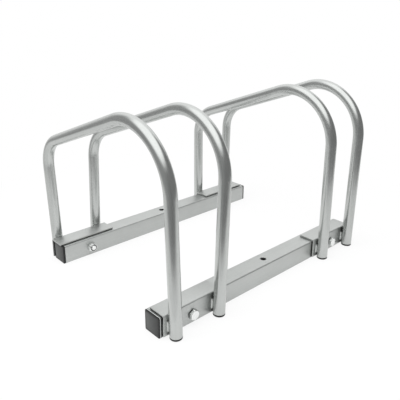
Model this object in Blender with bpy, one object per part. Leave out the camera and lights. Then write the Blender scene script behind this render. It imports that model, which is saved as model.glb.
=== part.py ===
# A floor rack that holds two bicycles by the wheel. Two square steel rails lie on the ground.
# Four bent tube hoops stand across them in two pairs, and a wheel drops into the slot of a pair.
# Each pair is welded to two angle brackets, and one bolt clamps each bracket to its rail.
# Metres, +Z up, +X along the rails, with the front rail and the tall side of the hoops at -Y.

import math

import bmesh
import bpy

# Rails: square tube, laid flat on the ground
RAIL_LENGTH = 0.411
RAIL_SIDE = 0.030
RAIL_WALL = 0.002
RAIL_CORNER_RADIUS = 0.0025
RAIL_SPAN = 0.283
FIXING_HOLE_DIAMETER = 0.009
RAIL_SHIFTS = {"front": -0.0034, "rear": -0.0005}

# Hoops: round tube, upright at the front, bent wide into a bar that falls towards the rear
TUBE_DIAMETER = 0.0171
TUBE_WALL = 0.0015
FRONT_BEND_HEIGHT = 0.191
FRONT_BEND_RADIUS = 0.0795
REAR_BEND_RADIUS = 0.0543
TOP_BAR_FALL = math.radians(20.35)

# Pairs: how far each stands from its end of the rails, and how the hoops lean and turn, in degrees
PAIR_INSETS = (0.0462, 0.0522)
HOOP_PITCH = 0.0726
HOOP_LEANS = ((-1.7, 2.1), (0.0, 1.7))
HOOP_TURNS = ((0.3, 1.2), (0.2, -0.3))

# Angle brackets: a lip over the top of the rail and a flange down its outer side
BRACKET_LENGTH = 0.0975
BRACKET_SLIPS = {"front": (-0.0019, -0.0013), "rear": (-0.0009, -0.0009)}
BRACKET_THICKNESS = 0.003
BRACKET_LIP_WIDTH = 0.0281
BRACKET_FLOOR_CLEARANCE = 0.0025
BRACKET_OUTER_RADIUS = 0.002
BRACKET_INNER_RADIUS = 0.001

# Weld beads: one fillet on each side of a leg, drawn up the middle of the flange
WELD_LENGTH = 0.014
WELD_MIDDLE_HEIGHT = 0.0158
WELD_ROOT = 0.0032
WELD_CREST = 0.0052
WELD_TOE = 0.0076
WELD_SINK = 0.0004
WELD_LEAST_RISE = 0.0001

# Bolts and lock nuts
BOLT_DIAMETER = 0.008
HEX_ACROSS_FLATS = 0.013
HEX_CHAMFER = 0.0006
BOLT_HEAD_HEIGHT = 0.0053
BOLT_END_CHAMFER = 0.0008
BOLT_PROTRUSION = 0.0012
BOLT_HOLE_DIAMETER = 0.009
NUT_HEX_HEIGHT = 0.0058
NUT_COLLAR_HEIGHT = 0.0024
NUT_COLLAR_WALL = 0.0007
NYLON_RING_DIAMETER = 0.0102
NYLON_RING_HEIGHT = 0.0020

# Plastic plugs in the rail ends and under the legs
RAIL_PLUG_HEAD = 0.0036
RAIL_PLUG_CHAMFER = 0.0008
RAIL_PLUG_DEPTH = 0.015
RAIL_PLUG_WALL = 0.0016
LEG_PLUG_HEAD = 0.002
LEG_PLUG_ROUNDING = 0.0012
LEG_PLUG_DEPTH = 0.012
LEG_PLUG_WALL = 0.0015
LEG_PLUG_FLOOR_GAP = 0.0005
PLUG_RIB = 0.0004
LEAST_CORNER_RADIUS = 0.0004

# Clearances
CONTACT_GAP = 0.0003
SLIDE_GAP = 0.0002

# Facets
TUBE_SIDES = 16
BEND_STEP = math.radians(10)
ROUND_SIDES = 24
CORNER_STEPS = 3
WELD_STEPS = 4
SHARP_ANGLE = math.radians(35)

# Values that follow from the sizes above
PAIR_PLACES = (PAIR_INSETS[0] - RAIL_LENGTH / 2, RAIL_LENGTH / 2 - PAIR_INSETS[1])
RAIL_MIDDLE_Y = (RAIL_SPAN - RAIL_SIDE) / 2
RAIL_BORE_CORNER_RADIUS = max(RAIL_CORNER_RADIUS - RAIL_WALL, LEAST_CORNER_RADIUS)
TUBE_RADIUS = TUBE_DIAMETER / 2
BRACKET_FACE = CONTACT_GAP + BRACKET_THICKNESS
LEG_Y = RAIL_SPAN / 2 + BRACKET_FACE + CONTACT_GAP + TUBE_RADIUS
LEG_END = LEG_PLUG_FLOOR_GAP + LEG_PLUG_HEAD + CONTACT_GAP
BOLT_RADIUS = BOLT_DIAMETER / 2
BOLT_HEIGHT = RAIL_SIDE / 2
BOLT_BEARING_Y = RAIL_SPAN / 2 + BRACKET_FACE + CONTACT_GAP
NUT_SEAT_Y = RAIL_SPAN / 2 - RAIL_SIDE - CONTACT_GAP
NUT_HEIGHT = NUT_HEX_HEIGHT + NUT_COLLAR_HEIGHT
NUT_POCKET_RADIUS = NYLON_RING_DIAMETER / 2 + SLIDE_GAP
NUT_POCKET_FLOOR = NUT_HEIGHT - NYLON_RING_HEIGHT - 2 * SLIDE_GAP


def clear_scene():
    for item in list(bpy.data.objects):
        bpy.data.objects.remove(item, do_unlink=True)


def make_material(name, colour, roughness, metallic):
    material = bpy.data.materials.new(name)
    material.use_nodes = True
    shader = material.node_tree.nodes["Principled BSDF"]
    shader.inputs["Base Color"].default_value = (*colour, 1.0)
    shader.inputs["Roughness"].default_value = roughness
    shader.inputs["Metallic"].default_value = metallic
    return material


def mesh_from(bm, name):
    """A mesh with its faces pointing out and its round sides smooth."""
    bmesh.ops.recalc_face_normals(bm, faces=bm.faces)
    mesh = bpy.data.meshes.new(name)
    bm.to_mesh(mesh)
    bm.free()
    mesh.shade_smooth()
    mesh.set_sharp_from_angle(angle=SHARP_ANGLE)
    return mesh


def place(name, mesh, parent, material=None, location=(0, 0, 0), rotation=(0, 0, 0)):
    item = bpy.data.objects.new(name, mesh)
    bpy.context.scene.collection.objects.link(item)
    item.parent = parent
    item.location = location
    item.rotation_euler = rotation
    if material and not mesh.materials:
        mesh.materials.append(material)
    return item


def combine(item, tool, operation):
    """Cut the tool out of the item, or join it on, and keep the tool as a hidden guide."""
    modifier = item.modifiers.new(tool.name, "BOOLEAN")
    modifier.operation = operation
    modifier.solver = "EXACT"
    modifier.object = tool
    tool.hide_render = True
    tool.display_type = "WIRE"


def loft(rings, hollow=False):
    """A body through rings of points. The end rings are capped, or joined when it is hollow."""
    bm = bmesh.new()
    levels = [[bm.verts.new(point) for point in ring] for ring in rings]
    pairs = list(zip(levels, levels[1:]))
    if hollow:
        pairs.append((levels[-1], levels[0]))
    else:
        bm.faces.new(levels[0])
        bm.faces.new(levels[-1])
    count = len(levels[0])
    for lower, upper in pairs:
        for i in range(count):
            j = (i + 1) % count
            bm.faces.new((lower[i], lower[j], upper[j], upper[i]))
    return bm


def circle_ring(radius, height, sides):
    """A circle about Z."""
    steps = [2 * math.pi * i / sides for i in range(sides)]
    return [(radius * math.cos(a), radius * math.sin(a), height) for a in steps]


def hexagon_ring(height, limit):
    """A fastener's hexagon about Z, rounded off where it passes the limit radius."""
    ring = []
    for i in range(ROUND_SIDES):
        angle = 2 * math.pi * i / ROUND_SIDES
        from_flat = (angle + math.pi / 6) % (math.pi / 3) - math.pi / 6
        radius = min(HEX_ACROSS_FLATS / 2 / math.cos(from_flat), limit)
        ring.append((radius * math.cos(angle), radius * math.sin(angle), height))
    return ring


def square_ring(half, corner_radius, along):
    """A square with rounded corners, across X at the given distance along it."""
    ring = []
    for corner in range(4):
        turn = corner * math.pi / 2
        middle = (half - corner_radius) * math.sqrt(2)
        centre_y = middle * math.cos(turn + math.pi / 4)
        centre_z = middle * math.sin(turn + math.pi / 4)
        for step in range(CORNER_STEPS + 1):
            angle = turn + step / CORNER_STEPS * math.pi / 2
            y = centre_y + corner_radius * math.cos(angle)
            z = centre_z + corner_radius * math.sin(angle)
            ring.append((along, y, z))
    return ring


def drill(name, radius, length, parent, location, rotation):
    """A round cutter about its own Z axis."""
    rings = [circle_ring(radius, end * length / 2, TUBE_SIDES) for end in (-1, 1)]
    return place(name, mesh_from(loft(rings), name), parent, None, location, rotation)


def hoop_path():
    """Points (y, z, fall) along the hoop's axis from the front leg's end to the rear leg's."""
    fall = TOP_BAR_FALL
    front_y = -LEG_Y + FRONT_BEND_RADIUS
    rear_y = LEG_Y - REAR_BEND_RADIUS
    bar_start_y = front_y + FRONT_BEND_RADIUS * math.sin(fall)
    bar_start_z = FRONT_BEND_HEIGHT + FRONT_BEND_RADIUS * math.cos(fall)
    bar_end_y = rear_y + REAR_BEND_RADIUS * math.sin(fall)
    bar_end_z = bar_start_z - (bar_end_y - bar_start_y) * math.tan(fall)
    rear_z = bar_end_z - REAR_BEND_RADIUS * math.cos(fall)
    path = [(-LEG_Y, LEG_END, -math.pi / 2)]
    path += bend(front_y, FRONT_BEND_HEIGHT, FRONT_BEND_RADIUS, -math.pi / 2, fall)
    path += bend(rear_y, rear_z, REAR_BEND_RADIUS, fall, math.pi / 2)
    path.append((LEG_Y, LEG_END, math.pi / 2))
    return path


def bend(centre_y, centre_z, radius, first, last):
    """Points on an arc whose downward slope goes from the first angle to the last."""
    steps = max(2, round((last - first) / BEND_STEP))
    slopes = [first + (last - first) * i / steps for i in range(steps + 1)]
    return [(centre_y + radius * math.sin(s), centre_z + radius * math.cos(s), s) for s in slopes]


def tube_ring(station, radius):
    """A circle across the hoop's path at one of its points."""
    y, z, slope = station
    ring = []
    for x, across, _ in circle_ring(radius, 0, TUBE_SIDES):
        ring.append((x, y + across * math.sin(slope), z + across * math.cos(slope)))
    return ring


def make_hoop_mesh():
    path = hoop_path()
    outside = [tube_ring(station, TUBE_RADIUS) for station in path]
    inside = [tube_ring(station, TUBE_RADIUS - TUBE_WALL) for station in path]
    return mesh_from(loft(outside + inside[::-1], hollow=True), "hoop")


def make_leg_plug_mesh():
    """A round foot with a ribbed, open-topped sleeve that grips the inside of the tube."""
    grip = TUBE_RADIUS - TUBE_WALL - SLIDE_GAP
    body = grip - PLUG_RIB
    top = LEG_PLUG_HEAD + CONTACT_GAP + LEG_PLUG_DEPTH
    rib = LEG_PLUG_HEAD + LEG_PLUG_DEPTH / 2
    profile = []
    for angle in (0, math.pi / 4, math.pi / 2):
        radius = TUBE_RADIUS - LEG_PLUG_ROUNDING * (1 - math.sin(angle))
        profile.append((radius, LEG_PLUG_ROUNDING * (1 - math.cos(angle))))
    profile += [(TUBE_RADIUS, LEG_PLUG_HEAD), (body, LEG_PLUG_HEAD)]
    profile += [(body, rib - 2 * PLUG_RIB), (grip, rib), (body, rib + 2 * PLUG_RIB)]
    profile += [(body, top), (body - LEG_PLUG_WALL, top), (body - LEG_PLUG_WALL, LEG_PLUG_HEAD)]
    rings = [circle_ring(radius, height, TUBE_SIDES) for radius, height in profile]
    return mesh_from(loft(rings), "leg_plug")


def make_rail_plug_mesh():
    """A square cap, chamfered at its face, with a ribbed open sleeve that grips inside the rail."""
    half = RAIL_SIDE / 2
    grip = half - RAIL_WALL - SLIDE_GAP
    body = grip - PLUG_RIB
    inner = body - RAIL_PLUG_WALL
    corner = RAIL_CORNER_RADIUS
    bore_corner = RAIL_BORE_CORNER_RADIUS
    profile = [
        (half - RAIL_PLUG_CHAMFER, corner, RAIL_PLUG_HEAD),
        (half, corner, RAIL_PLUG_HEAD - RAIL_PLUG_CHAMFER),
        (half, corner, 0),
        (body, bore_corner, 0),
    ]
    rib = -RAIL_PLUG_DEPTH / 2
    profile += [
        (body, bore_corner, rib + 2 * PLUG_RIB),
        (grip, bore_corner, rib),
        (body, bore_corner, rib - 2 * PLUG_RIB),
        (body, bore_corner, -RAIL_PLUG_DEPTH),
        (inner, bore_corner, -RAIL_PLUG_DEPTH),
        (inner, bore_corner, 0),
    ]
    return mesh_from(loft([square_ring(*station) for station in profile]), "rail_plug")


def rail_ends(word):
    """Where a rail starts and ends along X: neither is bolted on quite centred."""
    return [RAIL_SHIFTS[word] + end * RAIL_LENGTH / 2 for end in (-1, 1)]


def make_rail(word, side, parent, material):
    """A square tube with a bolt hole through it at each pair and an upright fixing hole mid-way."""
    half = RAIL_SIDE / 2
    ends = rail_ends(word)
    name = f"{word}_rail"
    outside = [square_ring(half, RAIL_CORNER_RADIUS, end) for end in ends]
    inside = [square_ring(half - RAIL_WALL, RAIL_BORE_CORNER_RADIUS, end) for end in ends]
    mesh = mesh_from(loft(outside + inside[::-1], hollow=True), name)
    middle_y = side * RAIL_MIDDLE_Y
    rail = place(name, mesh, parent, material, (0, middle_y, half))
    reach = 2 * RAIL_SIDE
    for number, x in enumerate(PAIR_PLACES, 1):
        across = drill(
            f"{name}_bolt_drill_{number}", BOLT_HOLE_DIAMETER / 2, reach, parent,
            (x, middle_y, BOLT_HEIGHT), (math.pi / 2, 0, 0),
        )
        combine(rail, across, "DIFFERENCE")
    upright = drill(
        f"{name}_fixing_drill", FIXING_HOLE_DIAMETER / 2, reach, parent,
        (0, middle_y, half), (0, 0, 0),
    )
    combine(rail, upright, "DIFFERENCE")
    return rail


def leg_x(pair, hoop, side, height):
    """Where a leg's axis stands along the rail at a height above the ground."""
    place_x = PAIR_PLACES[pair] + (hoop - 0.5) * HOOP_PITCH
    lean = math.radians(HOOP_LEANS[pair][hoop])
    turn = math.radians(HOOP_TURNS[pair][hoop])
    return place_x + height * math.tan(lean) - side * LEG_Y * math.sin(turn)


def bracket_x(pair, side):
    """A bracket's middle: that of the two legs it carries, but for a small slip along the rail."""
    legs = [leg_x(pair, hoop, side, WELD_MIDDLE_HEIGHT) for hoop in (0, 1)]
    slips = BRACKET_SLIPS["front" if side < 0 else "rear"]
    return sum(legs) / 2 + slips[pair]


def quarter(corner_y, corner_z, radius, first):
    """Points on a quarter turn inside a corner of the angle's section, from the first angle on."""
    centre = (corner_y + radius, corner_z - radius)
    angles = [first + math.pi / 2 * step / CORNER_STEPS for step in range(CORNER_STEPS + 1)]
    return [(centre[0] + radius * math.cos(a), centre[1] + radius * math.sin(a)) for a in angles]


def angle_outline():
    """The bracket's section (y, z) for a front bracket, with the rail's outer face at y = 0."""
    face = -BRACKET_FACE
    inner_face = face + BRACKET_THICKNESS
    inner_top = RAIL_SIDE + CONTACT_GAP
    top = inner_top + BRACKET_THICKNESS
    lip = face + BRACKET_LIP_WIDTH
    foot = BRACKET_FLOOR_CLEARANCE
    outer_bend = quarter(face, top, BRACKET_OUTER_RADIUS, math.pi / 2)
    inner_bend = quarter(inner_face, inner_top, BRACKET_INNER_RADIUS, math.pi / 2)
    flange = [(face, foot), (inner_face, foot)]
    return [(lip, inner_top), (lip, top)] + outer_bend + flange + inner_bend[::-1]


def groove_depth(from_leg):
    """How far the leg stands off the flange at a distance from the leg's axis."""
    return CONTACT_GAP + TUBE_RADIUS - math.sqrt(TUBE_RADIUS**2 - from_leg**2)


def weld_section(middle, height, direction):
    """A bead's section at one height: it fills the groove beside the leg, then falls to its toe."""
    from_middle = (height - WELD_MIDDLE_HEIGHT) / (WELD_LENGTH / 2)
    fullness = math.sqrt(max(0.0, 1 - from_middle**2))
    section = [(WELD_TOE, -WELD_SINK), (WELD_ROOT, -WELD_SINK)]
    for step in range(WELD_STEPS + 1):
        from_leg = WELD_ROOT + (WELD_TOE - WELD_ROOT) * step / WELD_STEPS
        past_crest = max(0.0, from_leg - WELD_CREST) / (WELD_TOE - WELD_CREST)
        crown = groove_depth(WELD_CREST) * math.cos(past_crest * math.pi / 2)
        rise = min(groove_depth(from_leg) - SLIDE_GAP, crown) * fullness
        section.append((from_leg, max(rise, WELD_LEAST_RISE)))
    return [(middle + direction * x, -BRACKET_FACE - rise, height) for x, rise in section]


def make_bead_mesh(name, pair, hoop, side, direction):
    """A bead in its bracket's own frame, which follows the leg's lean."""
    sections = []
    for step in range(WELD_STEPS + 1):
        height = WELD_MIDDLE_HEIGHT + WELD_LENGTH * (step / WELD_STEPS - 0.5)
        offset = leg_x(pair, hoop, side, height) - bracket_x(pair, side)
        sections.append(weld_section(-side * offset, height, direction))
    return mesh_from(loft(sections), name)


def make_bracket(name, pair, side, parent, material):
    """An angle with a bolt hole in its flange and a weld bead on each side of both legs."""
    rotation = (0, 0, math.pi if side > 0 else 0)
    corner = (bracket_x(pair, side), side * RAIL_SPAN / 2, 0)
    ends = (-BRACKET_LENGTH / 2, BRACKET_LENGTH / 2)
    mesh = mesh_from(loft([[(x, y, z) for y, z in angle_outline()] for x in ends]), name)
    bracket = place(name, mesh, parent, material, corner, rotation)
    hole = drill(
        f"{name}_drill", BOLT_HOLE_DIAMETER / 2, 2 * RAIL_SIDE, parent,
        (PAIR_PLACES[pair], side * RAIL_SPAN / 2, BOLT_HEIGHT), (math.pi / 2, 0, 0),
    )
    combine(bracket, hole, "DIFFERENCE")
    for number, (hoop, direction) in enumerate(((0, -1), (0, 1), (1, -1), (1, 1)), 1):
        bead_name = f"{name}_bead_{number}"
        bead_mesh = make_bead_mesh(bead_name, pair, hoop, side, direction)
        bead = place(bead_name, bead_mesh, parent, None, corner, rotation)
        combine(bracket, bead, "UNION")
    return bracket


def make_bolt_mesh():
    """A hexagon bolt about Z: its head stands up from the bearing face at z = 0."""
    reach = BOLT_BEARING_Y - NUT_SEAT_Y + NUT_HEIGHT + BOLT_PROTRUSION
    rings = [
        hexagon_ring(BOLT_HEAD_HEIGHT, HEX_ACROSS_FLATS / 2),
        hexagon_ring(BOLT_HEAD_HEIGHT - HEX_CHAMFER, HEX_ACROSS_FLATS),
        hexagon_ring(0, HEX_ACROSS_FLATS),
        circle_ring(BOLT_RADIUS, 0, ROUND_SIDES),
        circle_ring(BOLT_RADIUS, -reach + BOLT_END_CHAMFER, ROUND_SIDES),
        circle_ring(BOLT_RADIUS - BOLT_END_CHAMFER, -reach, ROUND_SIDES),
    ]
    return mesh_from(loft(rings), "bolt")


def make_nut_mesh():
    """A lock nut about Z: its hexagon sits at z = 0 and its collar holds the nylon ring."""
    bore = BOLT_RADIUS + SLIDE_GAP
    collar = NUT_POCKET_RADIUS + NUT_COLLAR_WALL
    rings = [
        circle_ring(bore, 0, ROUND_SIDES),
        hexagon_ring(0, HEX_ACROSS_FLATS / 2),
        hexagon_ring(HEX_CHAMFER, HEX_ACROSS_FLATS),
        hexagon_ring(NUT_HEX_HEIGHT - HEX_CHAMFER, HEX_ACROSS_FLATS),
        circle_ring(collar, NUT_HEX_HEIGHT, ROUND_SIDES),
        circle_ring(collar, NUT_HEIGHT - NUT_COLLAR_WALL, ROUND_SIDES),
        circle_ring(collar - NUT_COLLAR_WALL / 2, NUT_HEIGHT, ROUND_SIDES),
        circle_ring(NUT_POCKET_RADIUS, NUT_HEIGHT, ROUND_SIDES),
        circle_ring(NUT_POCKET_RADIUS, NUT_POCKET_FLOOR, ROUND_SIDES),
        circle_ring(bore, NUT_POCKET_FLOOR, ROUND_SIDES),
    ]
    return mesh_from(loft(rings, hollow=True), "lock_nut")


def make_nylon_ring_mesh():
    """The ring that grips the bolt's thread, about Z from z = 0."""
    inner = BOLT_RADIUS + SLIDE_GAP
    outer = NYLON_RING_DIAMETER / 2
    stations = ((inner, 0), (outer, 0), (outer, NYLON_RING_HEIGHT), (inner, NYLON_RING_HEIGHT))
    rings = [circle_ring(radius, height, ROUND_SIDES) for radius, height in stations]
    return mesh_from(loft(rings, hollow=True), "nylon_ring")


def build_rack():
    clear_scene()
    paint = make_material("silver_paint", (0.50, 0.51, 0.505), 0.38, 0.55)
    zinc = make_material("bright_zinc", (0.80, 0.81, 0.80), 0.22, 1.0)
    plastic = make_material("black_plastic", (0.035, 0.036, 0.036), 0.45, 0.0)
    nylon = make_material("black_nylon", (0.03, 0.03, 0.032), 0.55, 0.0)
    rack = place("rack", None, None)
    sides = {"front": -1, "rear": 1}
    for word, side in sides.items():
        make_rail(word, side, rack, paint)
    add_rail_plugs(sides, rack, plastic)
    add_hoops(sides, rack, paint, plastic)
    for word, side in sides.items():
        for pair in (0, 1):
            make_bracket(f"{word}_bracket_{pair + 1}", pair, side, rack, paint)
    add_fasteners(sides, rack, zinc, nylon)


def add_rail_plugs(sides, rack, plastic):
    mesh = make_rail_plug_mesh()
    for word, side in sides.items():
        for end_word, end, rail_end in zip(("left", "right"), (-1, 1), rail_ends(word)):
            location = (rail_end + end * CONTACT_GAP, side * RAIL_MIDDLE_Y, RAIL_SIDE / 2)
            rotation = (0, 0, math.pi if end < 0 else 0)
            place(f"{word}_{end_word}_rail_plug", mesh, rack, plastic, location, rotation)


def add_hoops(sides, rack, paint, plastic):
    """The hoops, each with a plug under both legs, carried by an empty that leans and turns."""
    hoop_mesh = make_hoop_mesh()
    plug_mesh = make_leg_plug_mesh()
    for pair in (0, 1):
        for hoop in (0, 1):
            number = 2 * pair + hoop + 1
            lean = math.radians(HOOP_LEANS[pair][hoop])
            turn = math.radians(HOOP_TURNS[pair][hoop])
            x = PAIR_PLACES[pair] + (hoop - 0.5) * HOOP_PITCH
            stand = place(f"hoop_{number}_stand", None, rack, None, (x, 0, 0), (0, lean, turn))
            place(f"hoop_{number}", hoop_mesh, stand, paint)
            for word, side in sides.items():
                foot = (0, side * LEG_Y, LEG_PLUG_FLOOR_GAP)
                place(f"hoop_{number}_{word}_plug", plug_mesh, stand, plastic, foot)


def add_fasteners(sides, rack, zinc, nylon):
    """A bolt through each bracket and rail, with a lock nut and its ring on the inner side."""
    bolt_mesh = make_bolt_mesh()
    nut_mesh = make_nut_mesh()
    ring_mesh = make_nylon_ring_mesh()
    ring_seat_y = NUT_SEAT_Y - NUT_POCKET_FLOOR - SLIDE_GAP
    for word, side in sides.items():
        outward = (math.pi / 2, 0, math.pi if side > 0 else 0)
        inward = (math.pi / 2, 0, 0 if side > 0 else math.pi)
        for number, x in enumerate(PAIR_PLACES, 1):
            head = (x, side * BOLT_BEARING_Y, BOLT_HEIGHT)
            nut = (x, side * NUT_SEAT_Y, BOLT_HEIGHT)
            ring = (x, side * ring_seat_y, BOLT_HEIGHT)
            place(f"{word}_bolt_{number}", bolt_mesh, rack, zinc, head, outward)
            place(f"{word}_nut_{number}", nut_mesh, rack, zinc, nut, inward)
            place(f"{word}_nut_{number}_nylon_ring", ring_mesh, rack, nylon, ring, inward)


build_rack()
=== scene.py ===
import math
import random

import bmesh
import bpy
from mathutils import Euler, Matrix, Vector


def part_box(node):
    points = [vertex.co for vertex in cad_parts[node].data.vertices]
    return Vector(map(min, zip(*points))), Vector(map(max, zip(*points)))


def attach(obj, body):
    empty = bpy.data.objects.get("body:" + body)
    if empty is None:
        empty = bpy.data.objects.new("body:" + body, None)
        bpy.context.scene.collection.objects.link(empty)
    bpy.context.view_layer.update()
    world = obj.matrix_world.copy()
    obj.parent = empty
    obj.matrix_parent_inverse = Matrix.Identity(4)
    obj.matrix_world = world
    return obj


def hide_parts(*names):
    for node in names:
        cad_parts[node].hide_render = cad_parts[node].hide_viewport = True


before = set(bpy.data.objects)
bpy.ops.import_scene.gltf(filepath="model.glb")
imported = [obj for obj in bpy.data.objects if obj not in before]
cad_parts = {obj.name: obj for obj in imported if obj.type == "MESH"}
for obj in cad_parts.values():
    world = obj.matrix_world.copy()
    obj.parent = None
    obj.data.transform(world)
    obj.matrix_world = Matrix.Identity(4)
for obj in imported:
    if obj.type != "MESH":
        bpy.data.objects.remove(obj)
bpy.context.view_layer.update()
scene = bpy.context.scene
print("Frame loaded:", len(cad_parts), "nodes")


# Camera

cameraSpot = {
    "place": (-0.5411, -0.5827, 0.4146),
    "turn": (72.407, -0.515, -42.924),
    "lens": 46.16,
    "shift": (-0.0242, -0.1059),
}


def addCamera():
    data = bpy.data.cameras.new("photoCamera")
    data.lens = cameraSpot["lens"]
    data.shift_x, data.shift_y = cameraSpot["shift"]
    camera = bpy.data.objects.new("photoCamera", data)
    camera.location = cameraSpot["place"]
    camera.rotation_euler = [math.radians(angle) for angle in cameraSpot["turn"]]
    scene.collection.objects.link(camera)
    scene.camera = camera


addCamera()
print("Camera set")


# Shader helpers

def addNode(tree, kind, inputs=None, **settings):
    # inputs holds a value or an output socket for each input, by name or number
    node = tree.nodes.new(kind)
    for name, value in settings.items():
        setattr(node, name, value)
    for name, value in (inputs or {}).items():
        if isinstance(value, bpy.types.NodeSocket):
            tree.links.new(value, node.inputs[name])
        else:
            node.inputs[name].default_value = value
    return node


def newGroup(name, inputs, outputs):
    # each entry of inputs is a name, a socket type and a starting value
    group = bpy.data.node_groups.new(name, "ShaderNodeTree")
    for label, kind, value in inputs:
        socket = group.interface.new_socket(label, in_out="INPUT", socket_type=kind)
        if value is not None:
            socket.default_value = value
    for label, kind in outputs:
        group.interface.new_socket(label, in_out="OUTPUT", socket_type=kind)
    start = group.nodes.new("NodeGroupInput")
    end = group.nodes.new("NodeGroupOutput")
    return group, start.outputs, end.inputs


def useGroup(tree, group, inputs):
    return addNode(tree, "ShaderNodeGroup", inputs, node_tree=group).outputs


def mixColours(tree, share, first, second):
    # from the first colour to the second by a share; each is a socket or a colour with alpha
    inputs = {0: share, 6: first, 7: second}
    return addNode(tree, "ShaderNodeMix", inputs, data_type="RGBA").outputs[2]


def readShare(tree, name):
    # a share that the mesh holds for each point; 0 where it holds none
    return addNode(tree, "ShaderNodeAttribute", attribute_name=name).outputs["Fac"]


def readFlow(tree):
    return addNode(tree, "ShaderNodeAttribute", attribute_name="flow").outputs["Vector"]


def newMaterial(name):
    material = bpy.data.materials.new(name)
    material.use_nodes = True
    tree = material.node_tree
    return material, tree, tree.nodes["Principled BSDF"]


def makeDrawLines():
    # faint lines left along a tube or bar by the die that drew it
    group, given, made = newGroup(
        "drawLines",
        [("Vector", "NodeSocketVector", None), ("Across", "NodeSocketFloat", 900.0),
         ("Along", "NodeSocketFloat", 12.0), ("Contrast", "NodeSocketFloat", 1.0)],
        [("Value", "NodeSocketFloat")],
    )
    stretch = addNode(group, "ShaderNodeCombineXYZ",
                      {"X": given["Across"], "Y": given["Across"], "Z": given["Along"]})
    scaled = addNode(group, "ShaderNodeVectorMath",
                     {0: given["Vector"], 1: stretch.outputs[0]}, operation="MULTIPLY")
    lines = addNode(group, "ShaderNodeTexNoise",
                    {"Vector": scaled.outputs[0], "Scale": 1.0, "Detail": 3.0, "Roughness": 0.6})
    centred = addNode(group, "ShaderNodeMath", {0: lines.outputs[0], 1: 0.5}, operation="SUBTRACT")
    spread = addNode(group, "ShaderNodeMath",
                     {0: centred.outputs[0], 1: given["Contrast"], 2: 0.5},
                     operation="MULTIPLY_ADD", use_clamp=True)
    group.links.new(spread.outputs[0], made["Value"])
    return group


def makeCloudiness():
    # slow changes of tone over a surface, from low to high
    group, given, made = newGroup(
        "cloudiness",
        [("Vector", "NodeSocketVector", None), ("Scale", "NodeSocketFloat", 40.0),
         ("Low", "NodeSocketFloat", 0.0), ("High", "NodeSocketFloat", 1.0)],
        [("Value", "NodeSocketFloat")],
    )
    clouds = addNode(group, "ShaderNodeTexNoise",
                     {"Vector": given["Vector"], "Scale": given["Scale"], "Detail": 4.0,
                      "Roughness": 0.55})
    ranged = addNode(group, "ShaderNodeMapRange",
                     {"Value": clouds.outputs[0], "From Min": 0.3, "From Max": 0.7,
                      "To Min": given["Low"], "To Max": given["High"]})
    group.links.new(ranged.outputs[0], made["Value"])
    return group


def makeFineGrain():
    # grain of a sprayed, plated or moulded skin: small cells for tone, and a height for bump
    group, given, made = newGroup(
        "fineGrain",
        [("Vector", "NodeSocketVector", None), ("Size", "NodeSocketFloat", 0.0006)],
        [("Tone", "NodeSocketFloat"), ("Height", "NodeSocketFloat")],
    )
    density = addNode(group, "ShaderNodeMath", {0: 1.0, 1: given["Size"]}, operation="DIVIDE")
    cells = addNode(group, "ShaderNodeTexVoronoi",
                    {"Vector": given["Vector"], "Scale": density.outputs[0]})
    tone = addNode(group, "ShaderNodeSeparateColor", {"Color": cells.outputs["Color"]})
    skin = addNode(group, "ShaderNodeTexNoise",
                   {"Vector": given["Vector"], "Scale": density.outputs[0], "Detail": 2.0})
    group.links.new(tone.outputs[0], made["Tone"])
    group.links.new(skin.outputs[0], made["Height"])
    return group


def makeScratches():
    # sparse hairlines that cross a surface at any angle
    group, given, made = newGroup(
        "hairlines",
        [("Vector", "NodeSocketVector", None), ("Scale", "NodeSocketFloat", 60.0),
         ("Share", "NodeSocketFloat", 0.02)],
        [("Mask", "NodeSocketFloat")],
    )
    bend = addNode(group, "ShaderNodeTexNoise",
                   {"Vector": given["Vector"], "Scale": given["Scale"], "Detail": 1.0})
    pushed = addNode(group, "ShaderNodeVectorMath",
                     {0: bend.outputs["Color"], 1: (0.02, 0.02, 0.02), 2: given["Vector"]},
                     operation="MULTIPLY_ADD")
    cracks = addNode(group, "ShaderNodeTexVoronoi",
                     {"Vector": pushed.outputs[0], "Scale": given["Scale"]},
                     feature="DISTANCE_TO_EDGE")
    edge = addNode(group, "ShaderNodeMapRange",
                   {"Value": cracks.outputs[0], "From Min": 0.0, "From Max": given["Share"],
                    "To Min": 1.0, "To Max": 0.0})
    patches = addNode(group, "ShaderNodeTexNoise",
                      {"Vector": given["Vector"], "Scale": given["Scale"], "Detail": 2.0})
    some = addNode(group, "ShaderNodeMapRange",
                   {"Value": patches.outputs[0], "From Min": 0.52, "From Max": 0.62})
    mask = addNode(group, "ShaderNodeMath", {0: edge.outputs[0], 1: some.outputs[0]},
                   operation="MULTIPLY")
    group.links.new(mask.outputs[0], made["Mask"])
    return group


def makePaintedShadeGroup():
    # painted shade: darkens a colour where the mesh says so, a little unevenly
    group, given, made = newGroup(
        "paintedShadeGroup",
        [("Color", "NodeSocketColor", None), ("Amount", "NodeSocketFloat", 0.0),
         ("Vector", "NodeSocketVector", None), ("Scale", "NodeSocketFloat", 900.0)],
        [("Color", "NodeSocketColor"), ("Mask", "NodeSocketFloat")],
    )
    speckle = addNode(group, "ShaderNodeTexNoise",
                      {"Vector": given["Vector"], "Scale": given["Scale"], "Detail": 3.0})
    uneven = addNode(group, "ShaderNodeMath", {0: speckle.outputs[0], 1: 0.9, 2: 0.6},
                     operation="MULTIPLY_ADD")
    mask = addNode(group, "ShaderNodeMath", {0: given["Amount"], 1: uneven.outputs[0]},
                   operation="MULTIPLY", use_clamp=True)
    # the near-black that painted shade turns the colour towards
    shaded = mixColours(group, mask.outputs[0], given["Color"], (0.012, 0.012, 0.011, 1.0))
    group.links.new(shaded, made["Color"])
    group.links.new(mask.outputs[0], made["Mask"])
    return group


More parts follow.
